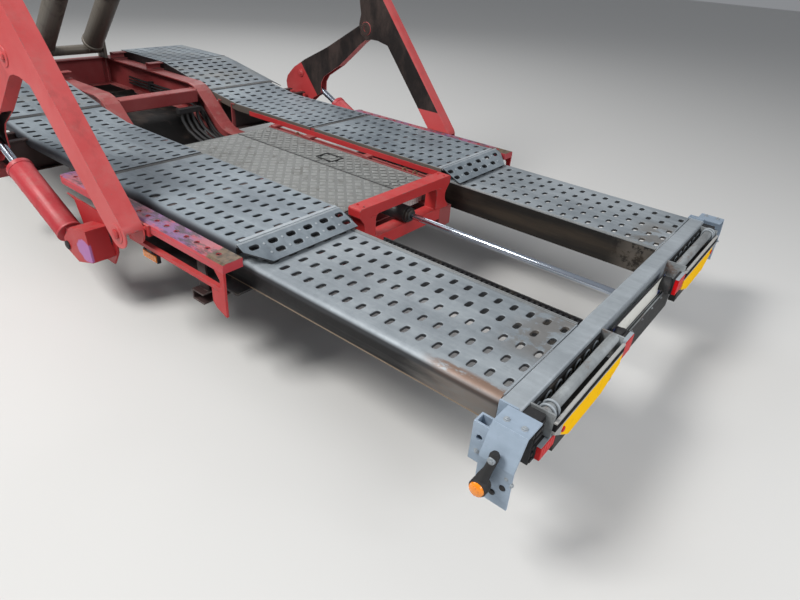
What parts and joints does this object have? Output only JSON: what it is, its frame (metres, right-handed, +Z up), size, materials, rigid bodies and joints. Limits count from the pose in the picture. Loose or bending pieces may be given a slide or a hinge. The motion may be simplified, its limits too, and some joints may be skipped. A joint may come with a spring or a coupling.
{
  "type": "rear loading deck section of a car transporter truck",
  "caption": "Low rear deck of a car carrier with perforated tracks, a sliding tail extension, hinged flaps, a hatch and hydraulic lift legs.",
  "frame": {"origin": "front face of the front cross member, on the centre line, level with the top of the rear deck plates", "axes": "+X towards the vehicle's rear, +Y to its right, +Z up"},
  "size_m": [5.109, 2.5719, 1.8509],
  "materials": {
    "red_paint": "faded red enamel, scuffed",
    "galvanised": "hot-dip galvanised, weathered",
    "black_steel": "greasy black paint",
    "grey_steel": "grey paint, dusty",
    "chrome": "polished",
    "yellow_board": "reflective yellow",
    "white_plate": "blank reflective plate"
  },
  "bodies": {
    "chassis": {"chassis_rail_left": "red_paint", "chassis_rail_right": "red_paint", "front_cross_member": "red_paint", "neck_cross_tube": "red_paint", "cross_members": "red_paint", "slide_guides": "black_steel", "side_rails": "red_paint", "side_posts": "red_paint", "rear_portal": "red_paint", "deck_ribs": "red_paint", "outriggers": "red_paint", "rear_deck_left": "galvanised", "rear_deck_right": "galvanised", "mid_deck_left": "galvanised", "mid_deck_right": "galvanised", "hump_deck_left": "galvanised", "hump_deck_right": "galvanised", "hatch_plate": "galvanised", "extension_barrel": "black_steel", "extension_gland": "black_steel", "arm_brackets": "red_paint", "cylinder_brackets": "red_paint", "prop_ears": "grey_steel"},
    "extension": {"extension_track_left": "galvanised", "extension_track_right": "galvanised", "rear_cross_beam": "galvanised", "extension_rod": "chrome", "end_brackets": "galvanised", "light_boards": "yellow_board", "perforated_panels": "galvanised", "rear_bars": "galvanised", "number_plate": "white_plate", "cable_chain": "black_steel", "board_lamps": "red_paint", "marker_lamps": "red_paint", "rear_skirt": "black_steel"},
    "hatch_lid": {"hatch_lid": "galvanised"},
    "flap_left": {"flap_left": "galvanised"},
    "lift_arm_left": {"lift_arm_left": "red_paint"},
    "lift_leg_left": {"lift_leg_left": "red_paint"},
    "foot_shoe_left": {"foot_shoe_left": "red_paint"},
    "lift_barrel_left": {"lift_barrel_left": "red_paint"},
    "lift_rod_left": {"lift_rod_left": "chrome"},
    "flap_right": {"flap_right": "galvanised"},
    "lift_arm_right": {"lift_arm_right": "red_paint"},
    "lift_leg_right": {"lift_leg_right": "red_paint"},
    "foot_shoe_right": {"foot_shoe_right": "red_paint"},
    "lift_barrel_right": {"lift_barrel_right": "red_paint"},
    "lift_rod_right": {"lift_rod_right": "chrome"},
    "prop_tubes": {"prop_tubes": "grey_steel"},
    "prop_sleeves": {"prop_sleeves": "grey_steel"}
  },
  "joints": [
    {"name": "extension_slide", "type": "slide", "parent": "chassis", "child": "extension", "axis": [1, 0, 0], "range_m": [-1.1, 0]},
    {"name": "hatch_lid_hinge", "type": "hinge", "parent": "chassis", "child": "hatch_lid", "pos_m": [2.9, 0.3657, -0.071], "axis": [-1, 0, 0], "range_deg": [0, 88]},
    {"name": "flap_hinge_left", "type": "hinge", "parent": "chassis", "child": "flap_left", "pos_m": [3.665, -0.727, -0.0025], "axis": [0, -1, 0], "range_deg": [0, 95]},
    {"name": "lift_left", "type": "hinge", "parent": "chassis", "child": "lift_arm_left", "pos_m": [1.62, -1.222, -0.06], "axis": [0, -1, 0], "range_deg": [-22, 6]},
    {"name": "leg_hub_left", "type": "hinge", "parent": "lift_arm_left", "child": "lift_leg_left", "pos_m": [2.36971, -1.222, 0.56021], "axis": [0, -1, 0], "range_deg": [-12, 44]},
    {"name": "foot_pivot_left", "type": "hinge", "parent": "lift_leg_left", "child": "foot_shoe_left", "pos_m": [3.11942, -1.222, -0.06], "axis": [0, -1, 0], "range_deg": [-22, 6]},
    {"name": "barrel_pivot_left", "type": "hinge", "parent": "chassis", "child": "lift_barrel_left", "pos_m": [2.56042, -1.222, -0.313], "axis": [0, -1, 0], "range_deg": [-1, 0.3]},
    {"name": "rod_slide_left", "type": "slide", "parent": "lift_barrel_left", "child": "lift_rod_left", "axis": [-0.9001, 0, 0.4357], "range_m": [-0.074, 0.021]},
    {"name": "flap_hinge_right", "type": "hinge", "parent": "chassis", "child": "flap_right", "pos_m": [3.665, 0.727, -0.0025], "axis": [0, -1, 0], "range_deg": [0, 95]},
    {"name": "lift_right", "type": "hinge", "parent": "chassis", "child": "lift_arm_right", "pos_m": [1.62, 1.222, -0.06], "axis": [0, -1, 0], "range_deg": [-22, 6]},
    {"name": "leg_hub_right", "type": "hinge", "parent": "lift_arm_right", "child": "lift_leg_right", "pos_m": [2.36971, 1.222, 0.56021], "axis": [0, -1, 0], "range_deg": [-12, 44]},
    {"name": "foot_pivot_right", "type": "hinge", "parent": "lift_leg_right", "child": "foot_shoe_right", "pos_m": [3.11942, 1.222, -0.06], "axis": [0, -1, 0], "range_deg": [-22, 6]},
    {"name": "barrel_pivot_right", "type": "hinge", "parent": "chassis", "child": "lift_barrel_right", "pos_m": [2.56042, 1.222, -0.313], "axis": [0, -1, 0], "range_deg": [-1, 0.3]},
    {"name": "rod_slide_right", "type": "slide", "parent": "lift_barrel_right", "child": "lift_rod_right", "axis": [-0.9001, 0, 0.4357], "range_m": [-0.074, 0.021]},
    {"name": "prop_tilt", "type": "hinge", "parent": "chassis", "child": "prop_tubes", "pos_m": [0.07, 0, 0.17], "axis": [0, -1, 0], "range_deg": [-20, 16]},
    {"name": "prop_slide", "type": "slide", "parent": "prop_tubes", "child": "prop_sleeves", "axis": [0.7314, 0, 0.682], "range_m": [-0.48, 0.15]}
  ],
  "couplings": [
    {"joint": "leg_hub_left", "follows": "lift_left", "ratio": -2},
    {"joint": "foot_pivot_left", "follows": "lift_left", "ratio": 1},
    {"joint": "barrel_pivot_left", "follows": "lift_left", "ratio": 0.0407},
    {"joint": "rod_slide_left", "follows": "lift_left", "m_per_rad": 0.1885},
    {"joint": "leg_hub_right", "follows": "lift_right", "ratio": -2},
    {"joint": "foot_pivot_right", "follows": "lift_right", "ratio": 1},
    {"joint": "barrel_pivot_right", "follows": "lift_right", "ratio": 0.0407},
    {"joint": "rod_slide_right", "follows": "lift_right", "m_per_rad": 0.1885}
  ]
}
